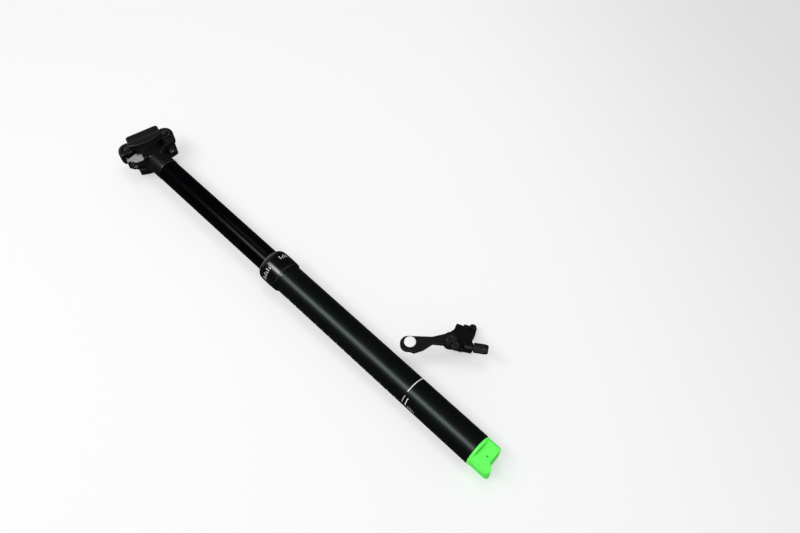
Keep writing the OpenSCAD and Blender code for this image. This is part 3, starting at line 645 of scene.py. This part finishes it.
class DROPPER_OT_tubes(bpy.types.Operator):
    """Smooths the lower tube, the stanchion and the wiper"""

    bl_idname = "dropper_post.tubes"
    bl_label = "Tubes"

    def execute(self, context):
        smooth_copy("lower_tube_anodised", "lower_tube", "tube_black")
        smooth_copy("stanchion_polished", "stanchion", "stanchion_black")
        smooth_copy("wiper_lip", "wiper_seal", "rubber_black")
        return {"FINISHED"}


class DROPPER_OT_collar(bpy.types.Operator):
    """Turns the collar with its cut top edge and its index marks"""

    bl_idname = "dropper_post.collar"
    bl_label = "Collar"

    def execute(self, context):
        steps = context.scene.dropper_sizes.steps
        foot, top = COLLAR_LOW.x / MM, COLLAR_HIGH.x / MM
        wall, lip, pocket = COLLAR_R, COLLAR_R - 1.6, COLLAR_R - 2.4
        shoulder, pocket_floor = 11.5, top - 9
        # The side narrows by a little up to here, and then rounds over to the top
        crown, narrowing = top - 6.2, 0.3
        profile = [
            (foot, SPIGOT_BORE_R), (foot, lip), (-0.4, lip), (-0.4, wall - 0.8), (0.1, wall - 0.5),
            (9, wall - 0.16), (crown, wall - narrowing), (top - 2.4, wall - 0.6), (top - 1.3, wall - 1.0),
            (top - 0.5, wall - 1.5), (top, wall - 1.8), (top, pocket), (pocket_floor, pocket),
            (pocket_floor, STANCHION_BORE_R), (shoulder, STANCHION_BORE_R), (shoulder, SPIGOT_BORE_R)]
        bm = turned(profile, steps)
        rounded(bm, 0.12, 30.0)
        add_piece("collar_turned", bm, "lower", "collar_black", ("seal_collar",))
        # The cut top edge: bare metal, whose light satin also paints in the edge's highlight
        edge = [
            (top - 0.42, wall - 1.52), (top + 0.02, wall - 1.82), (top + 0.02, wall - 2.3),
            (top - 0.4, wall - 2.3)]
        add_piece("collar_cut_edge", turned(edge, steps), "lower", "alloy_raw", finish_of="bare_edge_and_glint")
        bm = bmesh.new()
        # Index dashes, short and long in turn, in two groups round the side
        for count, first in enumerate((*range(-47, -19, 9), *range(30, 76, 9))):
            length = 4.6 if count % 2 else 3.0
            ends = [(x, wall - narrowing * x / crown + 0.02) for x in (shoulder, shoulder + length)]
            join(bm, patch(*ends, 0.03, first, 2.2, 4))
        add_piece("index_dashes", bm, "lower", "pad_white")
        return {"FINISHED"}


class DROPPER_OT_saddle_bolts(bpy.types.Operator):
    """Rounds the two saddle bolts' heads and lines their sockets with light satin metal, a painted glint"""

    bl_idname = "dropper_post.saddle_bolts"
    bl_label = "Saddle bolts"

    def execute(self, context):
        for end in SADDLE_BOLTS:
            smooth_copy(end + "_bolt_turned", end + "_bolt", "bolt_black", 0.6)
        # A cup with six sides that lines the socket in light satin metal: a painted glint in the socket
        inner_r, inner_floor = SOCKET_R - SIDE_SKIN, SOCKET_FLOOR - FLOOR_SKIN
        centre = 0.02
        cup = [
            (SOCKET_MOUTH, SOCKET_R), (SOCKET_FLOOR, SOCKET_R), (SOCKET_FLOOR, centre),
            (inner_floor, centre), (inner_floor, inner_r), (SOCKET_MOUTH, inner_r)]
        for end, across in SADDLE_BOLTS.items():
            bm = turned(cup, 6)
            bmesh.ops.transform(bm, matrix=CLAMP @ Matrix.Translation((0, across * MM, 0)), verts=bm.verts)
            add_piece(end + "_socket_painted_glint", bm, "upper", "steel_bright", finish_of="bare_edge_and_glint")
        return {"FINISHED"}


class DROPPER_OT_fasteners(bpy.types.Operator):
    """Breaks the edges of the other bolts, the nuts, washers, cable barrel and disc"""

    bl_idname = "dropper_post.fasteners"
    bl_label = "Fasteners"

    def execute(self, context):
        for node in ("clamp_bolt", "lever_pivot_bolt", "anchor_screw"):
            smooth_copy(node + "_turned", node, "bolt_black", 0.35)
        for node in ("front_nut", "rear_nut"):
            smooth_copy(node + "_turned", node, "bolt_black", 0.3)
        for node in ("front_washer", "rear_washer"):
            smooth_copy(node + "_pressed", node, "steel_bright", 0.1)
        smooth_copy("barrel_adjuster_turned", "barrel_adjuster", "barrel_black", 0.15)
        smooth_copy("thumb_pad_inlay", "thumb_pad", "pad_white", 0.2)
        return {"FINISHED"}


class DROPPER_OT_castings(bpy.types.Operator):
    """Rounds the forged head, the clamp, the guard cap and the remote"""

    bl_idname = "dropper_post.castings"
    bl_label = "Forgings and mouldings"

    def execute(self, context):
        sizes = context.scene.dropper_sizes
        cast_copy("post_head_forged", "post_head", "head_black", sizes.head_voxel, 7)
        for node in ("lower_cradle", "upper_clamp"):
            cast_copy(node + "_forged", node, "head_black", sizes.clamp_voxel, 4)
        cast_copy("guard_cap_moulded", "guard_cap", "guard_green", sizes.remote_voxel, 3)
        for node in ("remote_body", "bar_clamp"):
            cast_copy(node + "_forged", node, "remote_black", sizes.remote_voxel, 3)
        cast_copy("thumb_lever_forged", "thumb_lever", "lever_black", sizes.remote_voxel, 4)
        return {"FINISHED"}


class DROPPER_PT_panel(bpy.types.Panel):
    """Lists the steps in order"""

    bl_label = "Dropper post"
    bl_idname = "DROPPER_PT_panel"
    bl_space_type = "VIEW_3D"
    bl_region_type = "UI"
    bl_category = "Dropper post"

    def draw(self, context):
        for step in STEPS:
            self.layout.operator(step.bl_idname)
        scene = context.scene
        for group in (scene.dropper_sizes, scene.dropper_colours, scene.dropper_studio):
            box = self.layout.box()
            for name in group.__annotations__:
                box.prop(group, name)


STEPS = (
    DROPPER_OT_stage, DROPPER_OT_finishes, DROPPER_OT_tubes, DROPPER_OT_tube_print, DROPPER_OT_collar,
    DROPPER_OT_castings, DROPPER_OT_saddle_bolts, DROPPER_OT_fasteners)
CLASSES = (PostSizes, PostColours, StudioSettings, *STEPS, DROPPER_PT_panel)


def register():
    for cls in CLASSES:
        bpy.utils.register_class(cls)
    bpy.types.Scene.dropper_sizes = PointerProperty(type=PostSizes)
    bpy.types.Scene.dropper_colours = PointerProperty(type=PostColours)
    bpy.types.Scene.dropper_studio = PointerProperty(type=StudioSettings)


def unregister():
    del bpy.types.Scene.dropper_studio
    del bpy.types.Scene.dropper_colours
    del bpy.types.Scene.dropper_sizes
    for cls in reversed(CLASSES):
        bpy.utils.unregister_class(cls)


def main():
    register()
    bpy.ops.dropper_post.stage()
    bpy.ops.dropper_post.finishes()
    bpy.ops.dropper_post.tubes()
    bpy.ops.dropper_post.tube_print()
    bpy.ops.dropper_post.collar()
    bpy.ops.dropper_post.castings()
    bpy.ops.dropper_post.saddle_bolts()
    bpy.ops.dropper_post.fasteners()


if __name__ == "__main__":
    main()
